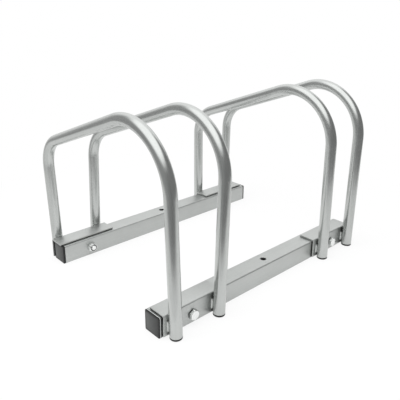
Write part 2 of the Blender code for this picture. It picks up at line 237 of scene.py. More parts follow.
drawLines = makeDrawLines()
cloudiness = makeCloudiness()
fineGrain = makeFineGrain()
hairlines = makeScratches()
paintedShadeGroup = makePaintedShadeGroup()


def blendTones(tree, share, look):
    return mixColours(tree, share, (*look["dark"], 1.0), (*look["light"], 1.0))


def paintedShade(tree, colour, flow, scale):
    # the colour with its painted shade, and the mask of that shade, from the share of shade that
    # the mesh holds
    return useGroup(tree, paintedShadeGroup, {"Color": colour, "Amount": readShare(tree, "paintedShade"),
                                    "Vector": flow, "Scale": scale})


def weigh(tree, parts):
    # sum of sockets, each times its weight
    total = None
    for socket, weight in parts:
        inputs = {0: socket, 1: weight}
        if total is None:
            total = addNode(tree, "ShaderNodeMath", inputs, operation="MULTIPLY")
        else:
            inputs[2] = total.outputs[0]
            total = addNode(tree, "ShaderNodeMath", inputs, operation="MULTIPLY_ADD")
    return total.outputs[0]


# Silver paint: glossier over the drawn tube of the hoops than over the rails and plates

silverPaint = {
    "dark": (0.470, 0.484, 0.474),
    "light": (0.572, 0.588, 0.576),
    "metal": 0.97,
    "tubeRoughness": (0.21, 0.29),
    "plateRoughness": (0.36, 0.46),
    "tubePeel": 0.0009,
    "platePeel": 0.0011,
    "lines": {"Across": 420.0, "Along": 9.0, "Contrast": 1.6},
    "cloudScale": 45.0,
    # size of the unevenness in the painted shade
    "shadeScale": 900.0,
    "bump": 0.000008,
}


def makeSilverPaint(name, roughness, peel):
    look = silverPaint
    material, tree, shader = newMaterial(name)
    flow = readFlow(tree)
    lines = useGroup(tree, drawLines, {"Vector": flow, **look["lines"]})["Value"]
    clouds = useGroup(tree, cloudiness, {"Vector": flow, "Scale": look["cloudScale"]})["Value"]
    grain = useGroup(tree, fineGrain, {"Vector": flow, "Size": peel})
    tone = weigh(tree, [(lines, 0.5), (clouds, 0.3), (grain["Tone"], 0.2)])
    shaded = paintedShade(tree, blendTones(tree, tone, look), flow, look["shadeScale"])
    tree.links.new(shaded["Color"], shader.inputs["Base Color"])
    low, high = roughness
    gloss = addNode(tree, "ShaderNodeMapRange",
                    {"Value": weigh(tree, [(lines, 0.6), (clouds, 0.4), (shaded["Mask"], 2.0)]),
                     "To Min": low, "To Max": high}, clamp=False)
    tree.links.new(gloss.outputs[0], shader.inputs["Roughness"])
    shader.inputs["Metallic"].default_value = look["metal"]
    height = weigh(tree, [(grain["Height"], 0.5), (lines, 0.5)])
    bump = addNode(tree, "ShaderNodeBump", {"Height": height, "Distance": look["bump"]})
    tree.links.new(bump.outputs[0], shader.inputs["Normal"])
    return material


# Bright zinc, on the bolts and lock nuts

brightZinc = {
    "dark": (0.80, 0.82, 0.81),
    "light": (0.94, 0.95, 0.94),
    "roughness": (0.16, 0.30),
    "cloudScale": 380.0,
    "grain": 0.0004,
    "marks": {"Scale": 420.0, "Share": 0.05},
    # size of the unevenness in the painted shade
    "shadeScale": 1500.0,
    "bump": 0.00002,
}


def makeBrightZinc():
    look = brightZinc
    material, tree, shader = newMaterial("brightZinc")
    flow = readFlow(tree)
    clouds = useGroup(tree, cloudiness, {"Vector": flow, "Scale": look["cloudScale"]})["Value"]
    grain = useGroup(tree, fineGrain, {"Vector": flow, "Size": look["grain"]})
    marks = useGroup(tree, hairlines, {"Vector": flow, **look["marks"]})["Mask"]
    tone = weigh(tree, [(clouds, 0.6), (grain["Tone"], 0.4)])
    shaded = paintedShade(tree, blendTones(tree, tone, look), flow, look["shadeScale"])
    tree.links.new(shaded["Color"], shader.inputs["Base Color"])
    low, high = look["roughness"]
    gloss = addNode(tree, "ShaderNodeMapRange",
                    {"Value": weigh(tree, [(clouds, 0.7), (marks, 0.3)]),
                     "To Min": low, "To Max": high})
    tree.links.new(gloss.outputs[0], shader.inputs["Roughness"])
    shader.inputs["Metallic"].default_value = 1.0
    height = weigh(tree, [(grain["Height"], 0.5), (marks, -0.5)])
    bump = addNode(tree, "ShaderNodeBump", {"Height": height, "Distance": look["bump"]})
    tree.links.new(bump.outputs[0], shader.inputs["Normal"])
    return material


# Black plastic, on the plugs, and black nylon, in the lock nuts

blackPlastic = {
    "dark": (0.008, 0.008, 0.008),
    "light": (0.018, 0.019, 0.019),
    # a painted sheen tone for the face, and a painted highlight tone for the head's edges
    "sheenTone": (0.098, 0.103, 0.100),
    "paintedHighlight": (0.62, 0.64, 0.63),
    "roughness": (0.36, 0.50),
    "gloss": 0.32,
    "cloudScale": 160.0,
    "grain": 0.0005,
    "marks": {"Scale": 150.0, "Share": 0.03},
    "bump": 0.00004,
}
blackNylon = {
    "dark": (0.016, 0.016, 0.018),
    "light": (0.032, 0.032, 0.034),
    # painted sheen and painted highlight tones
    "sheenTone": (0.060, 0.060, 0.062),
    "paintedHighlight": (0.10, 0.10, 0.10),
    "roughness": (0.48, 0.62),
    "gloss": 0.40,
    "cloudScale": 160.0,
    "grain": 0.0005,
    "marks": {"Scale": 150.0, "Share": 0.03},
    "bump": 0.00002,
}


def makeMoulding(name, look):
    material, tree, shader = newMaterial(name)
    flow = readFlow(tree)
    clouds = useGroup(tree, cloudiness, {"Vector": flow, "Scale": look["cloudScale"]})["Value"]
    grain = useGroup(tree, fineGrain, {"Vector": flow, "Size": look["grain"]})
    marks = useGroup(tree, hairlines, {"Vector": flow, **look["marks"]})["Mask"]
    tone = weigh(tree, [(clouds, 0.5), (grain["Tone"], 0.2), (marks, 0.5)])
    # painted sheen: the face goes grey where the mesh holds a share of it, in place of a reflection
    # on the black plastic
    paintedSheen = readShare(tree, "paintedSheen")
    sheen = weigh(tree, [(paintedSheen, 0.9), (clouds, 0.08), (marks, 0.10)])
    sheen = addNode(tree, "ShaderNodeMath", {0: sheen, 1: paintedSheen}, operation="MINIMUM").outputs[0]
    colour = mixColours(tree, sheen, blendTones(tree, tone, look), (*look["sheenTone"], 1.0))
    # painted highlight: pale where the mesh holds a share of it, in place of a reflection along the
    # edges of the head
    colour = mixColours(tree, readShare(tree, "highlightBand"), colour, (*look["paintedHighlight"], 1.0))
    tree.links.new(colour, shader.inputs["Base Color"])
    shader.inputs["Specular IOR Level"].default_value = look["gloss"]
    low, high = look["roughness"]
    gloss = addNode(tree, "ShaderNodeMapRange",
                    {"Value": weigh(tree, [(clouds, 0.6), (marks, 0.4)]),
                     "To Min": low, "To Max": high})
    tree.links.new(gloss.outputs[0], shader.inputs["Roughness"])
    height = weigh(tree, [(grain["Height"], 0.8), (marks, -0.2)])
    bump = addNode(tree, "ShaderNodeBump", {"Height": height, "Distance": look["bump"]})
    tree.links.new(bump.outputs[0], shader.inputs["Normal"])
    return material


paint = makeSilverPaint("silverPaintTube", silverPaint["tubeRoughness"],
                        silverPaint["tubePeel"])
platePaint = makeSilverPaint("silverPaintPlate", silverPaint["plateRoughness"],
                             silverPaint["platePeel"])
zinc = makeBrightZinc()
plastic = makeMoulding("blackPlastic", blackPlastic)
nylon = makeMoulding("blackNylon", blackNylon)
print("Finishes mixed")


# Mesh helpers

def setFlow(mesh, values):
    # the flow attribute holds each point as it lay before bending: across, across, along
    flow = mesh.attributes.get("flow") or mesh.attributes.new("flow", "FLOAT_VECTOR", "POINT")
    flow.data.foreach_set("vector", [part for value in values for part in value])


def clamp(value, low=0.0, high=1.0):
    return max(low, min(high, value))


def setShare(mesh, name, values):
    # a share for each point, such as how much painted shade, painted sheen or painted highlight it
    # has; the materials clamp it to 0 to 1
    share = mesh.attributes.get(name) or mesh.attributes.new(name, "FLOAT", "POINT")
    share.data.foreach_set("value", values)


def finishMesh(mesh, sharp=40):
    bm = bmesh.new()
    bm.from_mesh(mesh)
    bmesh.ops.recalc_face_normals(bm, faces=bm.faces)
    bm.to_mesh(mesh)
    bm.free()
    mesh.shade_smooth()
    mesh.set_sharp_from_angle(angle=math.radians(sharp))
    return mesh


def loft(name, rings, flows=None, hollow=False, paintedShades=None):
    # rings of points skinned in order; the last joins the first when hollow, else both are capped
    count = len(rings[0])
    faces = []
    for level in range(len(rings) if hollow else len(rings) - 1):
        low = level * count
        high = (level + 1) % len(rings) * count
        for i in range(count):
            j = (i + 1) % count
            faces.append((low + i, low + j, high + j, high + i))
    if not hollow:
        faces.append(tuple(range(count)))
        faces.append(tuple(range((len(rings) - 1) * count, len(rings) * count)))
    points = [point for ring in rings for point in ring]
    mesh = bpy.data.meshes.new(name)
    mesh.from_pydata(points, [], faces)
    setFlow(mesh, points if flows is None else [value for ring in flows for value in ring])
    if paintedShades:
        setShare(mesh, "paintedShade", [paintedShade for paintedShade in paintedShades for _ in range(count)])
    return finishMesh(mesh)


def circle(radius, height, sides):
    turns = [2 * math.pi * i / sides for i in range(sides)]
    return [(radius * math.cos(a), radius * math.sin(a), height) for a in turns]


def arc(centre, radius, first, last, steps):
    # points of an arc in a plane, with its angles in degrees
    angles = [math.radians(first + (last - first) * i / steps) for i in range(steps + 1)]
    return [(centre[0] + radius * math.cos(a), centre[1] + radius * math.sin(a)) for a in angles]


def carve(mesh, cutters):
    # cut holes with spool-shaped tools and give back the new mesh
    blank = bpy.data.objects.new("blank", mesh)
    scene.collection.objects.link(blank)
    tools = []
    for cutter, matrix in cutters:
        tool = bpy.data.objects.new("holeTool", cutter)
        tool.matrix_world = matrix
        scene.collection.objects.link(tool)
        modifier = blank.modifiers.new("hole", "BOOLEAN")
        modifier.operation = "DIFFERENCE"
        modifier.solver = "EXACT"
        modifier.object = tool
        tools.append(tool)
    bpy.context.view_layer.update()
    graph = bpy.context.evaluated_depsgraph_get()
    carved = bpy.data.meshes.new_from_object(blank.evaluated_get(graph))
    for item in [blank, *tools]:
        bpy.data.objects.remove(item, do_unlink=True)
    return carved


def spool(name, radius, half, rim, sides=32):
    # a hole's cutter with a broken edge at each outer face
    reach = half * 2
    profile = [(-reach, radius + rim), (-half, radius + rim), (-half + rim, radius),
               (half - rim, radius), (half, radius + rim), (reach, radius + rim)]
    return loft(name, [circle(r, z, sides) for z, r in profile])


def addPiece(name, mesh, material, slot, *nodes):
    piece = bpy.data.objects.new(name, mesh)
    if not mesh.materials:
        mesh.materials.append(material)
    scene.collection.objects.link(piece)
    return piece, slot, nodes


def settle(placed, matrix=None):
    # put a piece in its place, and let it stand for its nodes
    piece, slot, nodes = placed
    if matrix is not None:
        piece.matrix_world = matrix
    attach(piece, "root")
    if nodes:
        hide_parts(*nodes)
    return piece


sides = {"front": -1, "rear": 1}


# Rails: square tube with rounded corners, two bolt holes and a fixing hole

rail = {
    "side": 0.030,
    "middleY": 0.1265,
    "wall": 0.002,
    "corner": 0.0019,
    "innerCorner": 0.0005,
    "hole": 0.009,
    "rim": 0.0003,
    "pairs": (-0.1593, 0.1533),
    # width and reach of the painted shade line beside each bracket end
    "shadeLine": 0.0006,
    "shadeLineReach": 1.5,
}


def squareRing(half, corner, along, steps=6):
    ring = []
    for turn in range(4):
        across = (half - corner) * (1 if turn in (0, 3) else -1)
        up = (half - corner) * (1 if turn in (0, 1) else -1)
        bend = arc((across, up), corner, 90 * turn, 90 * turn + 90, steps)
        ring += [(along, y, z) for y, z in bend]
    return ring


def makeRail(word, side):
    low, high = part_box(f"{word}_rail")
    half = rail["side"] / 2
    inner = rail["innerCorner"]
    seams = []  # painted shade lies on the rail along the ends of the brackets
    for number in (1, 2):
        near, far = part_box(f"{word}_bracket_{number}")
        seams += [near.x, far.x]
    depth = rail["shadeLineReach"]
    stations = [x + rail["shadeLine"] * reach for x in seams for reach in (-depth, -0.5, 0.5, depth)]
    stations = [low.x, *sorted(x for x in stations if low.x < x < high.x), high.x]
    rings = [squareRing(half, rail["corner"], x) for x in stations]
    rings += [squareRing(half - rail["wall"], inner, x) for x in (high.x, low.x)]
    blank = loft(f"{word}_railBlank", rings, hollow=True)
    cutter = spool("railHole", rail["hole"] / 2, half, rail["rim"])
    across = Matrix.Rotation(math.pi / 2, 4, "X")
    cutters = [(cutter, Matrix.Translation((x, 0, 0)) @ across) for x in rail["pairs"]]
    cutters.append((cutter, Matrix.Identity(4)))
    mesh = carve(blank, cutters)
    setFlow(mesh, [(v.co.y, v.co.z, v.co.x) for v in mesh.vertices])
    # painted shade: a dark line on the rail's outer face beside each bracket end
    paintedShades = []
    for v in mesh.vertices:
        near = min(abs(v.co.x - x) for x in seams)
        beside = v.co.y * side > 0 and v.co.z < half - rail["corner"] / 2
        paintedShades.append(clamp(depth - near / rail["shadeLine"]) if beside else 0.0)
    setShare(mesh, "paintedShade", paintedShades)
    finishMesh(mesh)
    placed = addPiece(f"{word}_railShown", mesh, platePaint, "silver_paint", f"{word}_rail")
    settle(placed, Matrix.Translation((0, side * rail["middleY"], half)))


for word, side in sides.items():
    makeRail(word, side)
print("Rails cut and drilled")


# Hoops: round tube bent twice, each with a little lean and turn of its own

hoop = {
    "tube": 0.0171,
    "wall": 0.0015,
    "legY": 0.15365,
    "legEnd": 0.0033,
    "bendHeight": 0.191,
    "frontBend": 0.0795,
    "rearBend": 0.0543,
    "fall": 20.35,
    "pitch": 0.0726,
    "leans": ((-1.7, 2.1), (0.0, 1.7)),
    "turns": ((0.3, 1.2), (0.2, -0.3)),
    "sides": 44,
    "bendStep": 3.0,
    "cutEdge": 0.0004,
    "flattening": 0.018,
}


def hoopStations():
    # points along the tube's axis: y, z, slope of the axis, and how far a bend flattens it there
    fall = math.radians(hoop["fall"])
    front, rear, legY = hoop["frontBend"], hoop["rearBend"], hoop["legY"]
    frontY, rearY = front - legY, legY - rear
    barY, barZ = frontY + front * math.sin(fall), hoop["bendHeight"] + front * math.cos(fall)
    endY = rearY + rear * math.sin(fall)
    rearZ = barZ - (endY - barY) * math.tan(fall) - rear * math.cos(fall)
    points = [(-legY, hoop["legEnd"], -math.pi / 2, 0)]
    points.append((-legY, hoop["legEnd"] + hoop["cutEdge"], -math.pi / 2, 0))
    for y, z, radius, first, last in (
        (frontY, hoop["bendHeight"], front, -math.pi / 2, fall),
        (rearY, rearZ, rear, fall, math.pi / 2),
    ):
        steps = round(math.degrees(last - first) / hoop["bendStep"])
        for i in range(steps + 1):
            slope = first + (last - first) * i / steps
            bent = min(1, 4 * min(i, steps - i) / steps)
            points.append((y + radius * math.sin(slope), z + radius * math.cos(slope), slope, bent))
    points.append((legY, hoop["legEnd"] + hoop["cutEdge"], math.pi / 2, 0))
    points.append((legY, hoop["legEnd"], math.pi / 2, 0))
    return points


def tubeRings(radius, cutEdge):
    stations = hoopStations()
    rings, flows = [], []
    along = 0
    for i, (y, z, slope, bent) in enumerate(stations):
        if i:
            along += math.dist(stations[i - 1][:2], (y, z))
        size = radius - (cutEdge if i in (0, len(stations) - 1) else 0)
        ring, flow = [], []
        for x, across, _ in circle(size, 0, hoop["sides"]):
            across *= 1 - hoop["flattening"] * bent
            ring.append((x, y + across * math.sin(slope), z + across * math.cos(slope)))
            flow.append((x, across, along))
        rings.append(ring)
        flows.append(flow)
    return rings, flows


def makeHoopMesh():
    radius = hoop["tube"] / 2
    outer, outerFlow = tubeRings(radius, hoop["cutEdge"])
    inner, innerFlow = tubeRings(radius - hoop["wall"], 0)
    return loft("hoopTube", outer + inner[::-1], outerFlow + innerFlow[::-1], hollow=True)


def hoopMatrix(pair, number):
    x = rail["pairs"][pair] + (number - 0.5) * hoop["pitch"]
    lean = math.radians(hoop["leans"][pair][number])
    turn = math.radians(hoop["turns"][pair][number])
    return Matrix.Translation((x, 0, 0)) @ Euler((0, lean, turn)).to_matrix().to_4x4()


# Leg plugs: round plastic feet pushed into the legs

legPlug = {
    "head": 0.0025,
    "rounding": 0.0012,
    "depth": 0.012,
    "wall": 0.0015,
    "floorGap": 0.0005,
    "slide": 0.0002,
    "rib": 0.0004,
    "ribs": (0.003, 0.0065),
    "softEdge": 0.0003,
}


def makeLegPlugMesh():
    radius = hoop["tube"] / 2
    head, rounding, rib = legPlug["head"], legPlug["rounding"], legPlug["rib"]
    grip = radius - hoop["wall"] - legPlug["slide"]
    body = grip - rib
    inner = body - legPlug["wall"]
    top, soft = head + legPlug["depth"], legPlug["softEdge"]
    profile = [(0.0004, 0), (radius * 0.5, 0)]
    profile += arc((radius - rounding, rounding), rounding, -90, 0, 6)
    profile += [(radius, head - soft), (radius - soft, head), (body, head)]
    for height in (head + rise for rise in legPlug["ribs"]):
        profile += [(body, height - rib), (grip, height), (body, height + rib)]
    profile += [(body, top), (inner, top), (inner, head)]
    return loft("legPlug", [circle(r, z, hoop["sides"]) for r, z in profile])


def addHoops():
    tube = makeHoopMesh()
    foot = makeLegPlugMesh()
    for pair in (0, 1):
        for number in (0, 1):
            name = f"hoop_{2 * pair + number + 1}"
            matrix = hoopMatrix(pair, number)
            settle(addPiece(f"{name}_shown", tube, paint, "silver_paint", name), matrix)
            for word, side in sides.items():
                node = f"{name}_{word}_plug"
                stand = Matrix.Translation((0, side * hoop["legY"], legPlug["floorGap"]))
                placed = addPiece(f"{node}_shown", foot, plastic, "black_plastic", node)
                settle(placed, matrix @ stand)


addHoops()
print("Hoops bent and plugged")


# Rail plugs: square caps with a softly domed face

railPlug = {
    "head": 0.0036,
    "rounding": 0.0009,
    "dome": 0.0005,
    "depth": 0.015,
    "wall": 0.0016,
    "slide": 0.0002,
    "rib": 0.0004,
    "ribs": (-0.005, -0.010),
    "sleeveCorner": 0.0005,
    "gap": 0.0003,
    "face": (0.02, 0.3, 0.55, 0.70, 0.82, 0.90, 0.96, 1.0),
    # painted sheen across the face, and a painted highlight in a band round the head's sides
    "sheen": -0.42,
    "sheenTo": (0.80, 0.93),
    "paintedHighlight": {"front_left_rail_plug": 1.0},
    "highlightBand": (0.0003, 0.0005, 0.0013, 0.0016),
}


def makeRailPlugMesh(paintedHighlight):
    half = rail["side"] / 2
    head, rounding, dome = railPlug["head"], railPlug["rounding"], railPlug["dome"]
    corner, rib, slide = rail["corner"], railPlug["rib"], railPlug["slide"]
    grip = half - rail["wall"] - slide
    body = grip - rib
    inner, depth = body - railPlug["wall"], railPlug["depth"]
    rings = []
    for share in railPlug["face"]:
        reach = (half - rounding) * share
        rings.append(squareRing(reach, min(corner, reach * 0.5), head - dome * share**2))
    edge = arc((half - rounding, head - dome - rounding), rounding, 90, 0, 5)
    rings += [squareRing(size, corner, along) for size, along in edge[1:]]
    start, full, fading, end = railPlug["highlightBand"]
    rings += [squareRing(half, corner, along) for along in (end, fading, full, start, slide)]
    rings.append(squareRing(half - slide, corner, 0))
    sleeve = [(body, 0)]
    for along in railPlug["ribs"]:
        sleeve += [(body, along + rib), (grip, along), (body, along - rib)]
    sleeve += [(body, -depth), (inner, -depth), (inner, 0)]
    rings += [squareRing(size, railPlug["sleeveCorner"], along) for size, along in sleeve]
    mesh = loft("railPlug", rings)
    # painted sheen on the face, lighter towards one side and fading out to the rim; painted
    # highlight in a band round the head's sides, where the plug has it
    paintedSheens, highlightBands = [], []
    whole, none = railPlug["sheenTo"]
    for v in mesh.vertices:
        out = max(abs(v.co.y), abs(v.co.z)) / (half - rounding)
        band = min((v.co.x - start) / (full - start), (end - v.co.x) / (end - fading))
        highlightBands.append(paintedHighlight * clamp(band) if out > 1 else 0.0)
        across = 0.5 + v.co.y / half * railPlug["sheen"]
        paintedSheens.append(clamp((none - out) / (none - whole)) * across if v.co.x > 0 else 0.0)
    setShare(mesh, "paintedSheen", paintedSheens)
    setShare(mesh, "highlightBand", highlightBands)
    return mesh


def addRailPlugs():
    for word, side in sides.items():
        low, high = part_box(f"{word}_rail")
        for endWord, x, turn in (("left", low.x, math.pi), ("right", high.x, 0)):
            node = f"{word}_{endWord}_rail_plug"
            mesh = makeRailPlugMesh(railPlug["paintedHighlight"].get(node, 0.0))
            gap = railPlug["gap"] if turn == 0 else -railPlug["gap"]
            spot = Matrix.Translation((x + gap, side * rail["middleY"], rail["side"] / 2))
            matrix = spot @ Matrix.Rotation(turn, 4, "Z")
            settle(addPiece(f"{node}_shown", mesh, plastic, "black_plastic", node), matrix)


addRailPlugs()
print("Rail plugs pressed in")


# Brackets: folded plate, lip over the rail and flange down its outer side

bracket = {
    "length": 0.0975,
    "plate": 0.003,
    "lip": 0.0281,
    "foot": 0.0025,
    "gap": 0.0003,
    "outerBend": 0.002,
    "innerBend": 0.001,
    "edge": 0.0004,
    "hole": 0.009,
    # levels of the painted shade along the plate's sheared edges and inside its angle
    "edgeLine": 2.3,
    "lipLine": {"front_bracket_1": 2.6, "rear_bracket_1": 1.4},
    "flangeLine": {"rear_bracket_1": 7.0},
    "thinLines": (0.95, 2.5),
    "lineFall": 4.0,
    "edgeFall": 5.0,
    "shadeInside": 0.9,
    "holeRim": 0.0003,
}


def bracketOutline():
    # section (y, z) with the rail's outer face at y = 0
    face = -bracket["gap"] - bracket["plate"]
    back = -bracket["gap"]
    under = rail["side"] + bracket["gap"]
    top = under + bracket["plate"]
    outer, inner = bracket["outerBend"], bracket["innerBend"]
    lip = face + bracket["lip"]
    outline = [(lip, under), (lip, top)]
    outline += arc((face + outer, top - outer), outer, 90, 180, 8)
    outline += [(face, bracket["foot"]), (back, bracket["foot"])]
    outline += arc((back + inner, under - inner), inner, 180, 90, 6)
    return outline


def bracketShade(spot, lipLine, flangeLine):
    # painted shade fills the angle against the rail and shows as a narrow line along its sheared
    # edges, next to the rail;
    # values run past 0 and 1, which keeps that line narrow on faces with few points
    plate, hair = bracket["plate"], 0.00005
    back, under = -bracket["gap"], rail["side"] + bracket["gap"]
    if spot.y > back - hair and spot.z < under + hair:
        return bracket["shadeInside"]
    if abs(spot.x) > bracket["length"] / 2 - hair:
        if spot.z > under - hair:
            return lipLine - bracket["lineFall"] * (spot.z - under) / plate
        return flangeLine - bracket["lineFall"] * (back - spot.y) / plate
    if spot.y > bracket["lip"] + back - plate - hair and spot.z > under - hair:
        return bracket["edgeLine"] - bracket["edgeFall"] * (spot.z - under) / plate
    return 0.0


def softenEdges(mesh, width):
    # break the sheared edges of the plate
    bm = bmesh.new()
    bm.from_mesh(mesh)
    bm.normal_update()
    edges = []
    for edge in bm.edges:
        if len(edge.link_faces) == 2 and edge.calc_face_angle() > math.radians(60):
            edges.append(edge)
    bmesh.ops.bevel(bm, geom=edges, offset=width, segments=3, profile=0.5, affect="EDGES")
    bm.to_mesh(mesh)
    bm.free()


def legX(pair, number, side, height):
    # where a leg's axis stands at a height above the ground
    spot = hoopMatrix(pair, number)
    foot = spot @ Vector((0, side * hoop["legY"], 0))
    head = spot @ Vector((0, side * hoop["legY"], 0.1))
    return foot.x + (head.x - foot.x) * (height - foot.z) / (head.z - foot.z)


# Weld beads: one fillet on each side of a leg, with the ripples of the hand that ran it

weld = {
    "length": 0.014,
    "height": 0.0158,
    "root": 0.0032,
    "crest": 0.0052,
    "toe": 0.0076,
    "sink": 0.0004,
    "bite": 0.00015,
    "ripple": 0.0013,
    "depth": 0.14,
    "rings": 72,
    # painted shade at both ends of a bead: its reach, its level at the ends, and its darkest
    "shadeReach": 0.0030,
    "shadeAtEnds": 1.35,
    "darkest": 0.78,
    "unsteady": 0.05,
    "rippleShape": 0.6,
    "crownShape": 0.8,
    "toeWander": 0.004,
    "endToe": 0.0006,
}


def grooveDepth(fromLeg):
    radius = hoop["tube"] / 2
    return bracket["gap"] + radius - math.sqrt(radius**2 - fromLeg**2)


def beadRing(share, wobble):
    # a bead's section at a share of its length: pairs of distance from the leg's axis and rise
    fullness = math.sqrt(max(0.0, 1 - (2 * share - 1)**2))
    phase = share * weld["length"] / weld["ripple"]
    wave = abs(math.sin(math.pi * phase)) ** weld["rippleShape"]
    ripple = 1 - weld["depth"] * (1 - wave) - wobble
    toe = weld["toe"] - weld["endToe"] * (1 - fullness) - wobble * weld["toeWander"]
    section = [(toe, -weld["sink"]), (weld["root"], -weld["sink"])]
    for step in range(5):
        fromLeg = weld["root"] + (weld["crest"] - weld["root"]) * step / 4
        section.append((fromLeg, (grooveDepth(fromLeg) + weld["bite"]) * fullness))
    highest = grooveDepth(weld["crest"]) + weld["bite"]
    for step in range(1, 9):
        out = step / 8
        fromLeg = weld["crest"] + (toe - weld["crest"]) * out
        crown = highest * math.cos(out * math.pi / 2) ** weld["crownShape"]
        section.append((fromLeg, max(crown * fullness * ripple, -weld["sink"] * 0.5)))
    return section


def addBead(name, pair, number, side, direction, dice):
    rings, paintedShades = [], []
    length = weld["length"] + 2 * weld["shadeReach"]
    bottom = weld["height"] - length / 2
    face = side * (rail["middleY"] + rail["side"] / 2 + bracket["gap"] + bracket["plate"])
    for i in range(weld["rings"] + 1):
        share = i / weld["rings"]
        height = bottom + length * share
        middle = legX(pair, number, side, height)
        section = beadRing(share, dice.uniform(0, weld["unsteady"]))
        fromEnd = min(share, 1 - share) * length
        # painted shade darkens the bead towards both ends
        paintedShades.append(clamp(weld["shadeAtEnds"] - fromEnd / weld["shadeReach"], high=weld["darkest"]))
        rings.append([(middle + direction * x, face + side * rise, height) for x, rise in section])
    mesh = loft(name, rings, paintedShades=paintedShades)
    return settle(addPiece(name, mesh, paint, "silver_paint"))


def makeBracket(word, side, pair, dice):
    node = f"{word}_bracket_{pair + 1}"
    length = bracket["length"]
    low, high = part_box(node)
    middle = (low.x + high.x) / 2
    blank = loft(node + "_blank", [[(x, y, z) for y, z in bracketOutline()]
                                   for x in (-length / 2, length / 2)])
    softenEdges(blank, bracket["edge"])
    turn = math.pi if side > 0 else 0
    across = Matrix.Translation(((middle - rail["pairs"][pair]) * side, 0, rail["side"] / 2))
    cutter = spool("boltHole", bracket["hole"] / 2, bracket["plate"] + bracket["gap"],
                   bracket["holeRim"])
    mesh = carve(blank, [(cutter, across @ Matrix.Rotation(math.pi / 2, 4, "X"))])
    setFlow(mesh, [(v.co.y, v.co.z, v.co.x) for v in mesh.vertices])
    lipLine = bracket["lipLine"].get(node, bracket["thinLines"][0])
    flangeLine = bracket["flangeLine"].get(node, bracket["thinLines"][1])
    setShare(mesh, "paintedShade", [bracketShade(v.co, lipLine, flangeLine) for v in mesh.vertices])
    finishMesh(mesh)
    outer = side * (rail["middleY"] + rail["side"] / 2)
    spot = Matrix.Translation((middle, outer, 0)) @ Matrix.Rotation(turn, 4, "Z")
    settle(addPiece(f"{node}_shown", mesh, platePaint, "silver_paint", node), spot)
    for number in (0, 1):
        for direction in (-1, 1):
            hand = "left" if direction < 0 else "right"
            addBead(f"{node}_bead_{number + 1}_{hand}", pair, number, side, direction, dice)


def addBrackets():
    dice = random.Random(7)
    for word, side in sides.items():
        for pair in (0, 1):
            makeBracket(word, side, pair, dice)


addBrackets()
print("Brackets folded and welded")


# Bolts: hexagon heads outside, threaded ends inside

bolt = {
    "diameter": 0.008,
    "flats": 0.013,
    "head": 0.0053,
    "chamfer": 0.0125,
    "pitch": 0.00125,
    "threadDepth": 0.0004,
    "threaded": 0.010,
    "point": 0.0008,
    "sides": 72,
    "flatFace": 0.96,
    "sidesFrom": 0.97,
    "softEdge": 0.0002,
    "threadStep": 0.00018,
    "threadShape": (1.25, 0.2),
    # painted shade low on the head's sides: its slope and level
    "baseShade": (3.0, -1.9),
}


def hexRing(height, limit):
    # a hexagon about Z, rounded off where it passes the limit radius
    ring = []
    for i in range(bolt["sides"]):
        angle = 2 * math.pi * i / bolt["sides"]
        fromFlat = (angle + math.pi / 6) % (math.pi / 3) - math.pi / 6
        radius = min(bolt["flats"] / 2 / math.cos(fromFlat), limit)
        ring.append((radius * math.cos(angle), radius * math.sin(angle), height))
    return ring


def hexChamfer(top, down, first, steps=6):
    # rings from the flat's rim to where the chamfer runs out on the corners
    corner = bolt["flats"] / 2 / math.cos(math.pi / 6)
    rise = (corner - first) * math.tan(math.radians(30))
    hair = 0.00001
    rings = [hexRing(top, first)]
    for i in range(1, steps + 1):
        share = i / steps
        limit = first + (corner - first) * share + hair
        rings.append(hexRing(top + down * rise * share, limit))
    return rings


def threadRing(z, start):
    # one ring of a thread: its radius runs with the turn, and fades in from the plain shank
    ring = []
    steep, crest = bolt["threadShape"]
    fade = clamp((start - z) / bolt["pitch"])
    for i in range(bolt["sides"]):
        turn = i / bolt["sides"]
        wave = abs(((z / bolt["pitch"] + turn) % 1) * 2 - 1)
        cut = fade * max(0, wave * steep - crest)
        radius = bolt["diameter"] / 2 - bolt["threadDepth"] * cut
        angle = 2 * math.pi * turn
        ring.append((radius * math.cos(angle), radius * math.sin(angle), z))
    return ring


def makeBoltMesh(reach):
    # the head stands up from z = 0 and the shank hangs down to -reach
    radius, flats, sides = bolt["diameter"] / 2, bolt["flats"] / 2, bolt["sides"]
    centre = 0.0005
    rings = [circle(size, bolt["head"], sides) for size in (centre, flats * 0.6)]
    rings += hexChamfer(bolt["head"], -1, flats * bolt["flatFace"])
    rings += [hexRing(bolt["softEdge"], bolt["flats"]), hexRing(0, flats)]
    start = -reach + bolt["threaded"]
    rings += [circle(radius, z, sides) for z in (0, start)]
    run = bolt["threaded"] - bolt["point"]
    steps = round(run / bolt["threadStep"])
    for i in range(1, steps + 1):
        rings.append(threadRing(start - run * i / steps, start))
    end = [Vector(point) for point in rings[-1]]
    tip = radius - bolt["point"]
    for share in (0.35, 0.7, 1.0):
        z = -reach + bolt["point"] * (1 - share)
        limit = radius + (tip - radius) * share
        ring = []
        for point in end:
            size = min(math.hypot(point.x, point.y), limit)
            angle = math.atan2(point.y, point.x)
            ring.append((size * math.cos(angle), size * math.sin(angle), z))
        rings.append(ring)
    rings.append(circle(centre, -reach, sides))
    mesh = loft("hexBolt", rings)
    paintedShades = []  # painted shade sits low on the head's sides, where it meets the plate
    slope, level = bolt["baseShade"]
    for v in mesh.vertices:
        outside = math.hypot(v.co.x, v.co.y) > flats * bolt["sidesFrom"]
        deep = 1 - v.co.z / bolt["head"]
        paintedShades.append(slope * deep + level if outside and deep <= 1 else 0.0)
    setShare(mesh, "paintedShade", paintedShades)
    return mesh


# Lock nuts: a hexagon with a rolled collar round a nylon ring

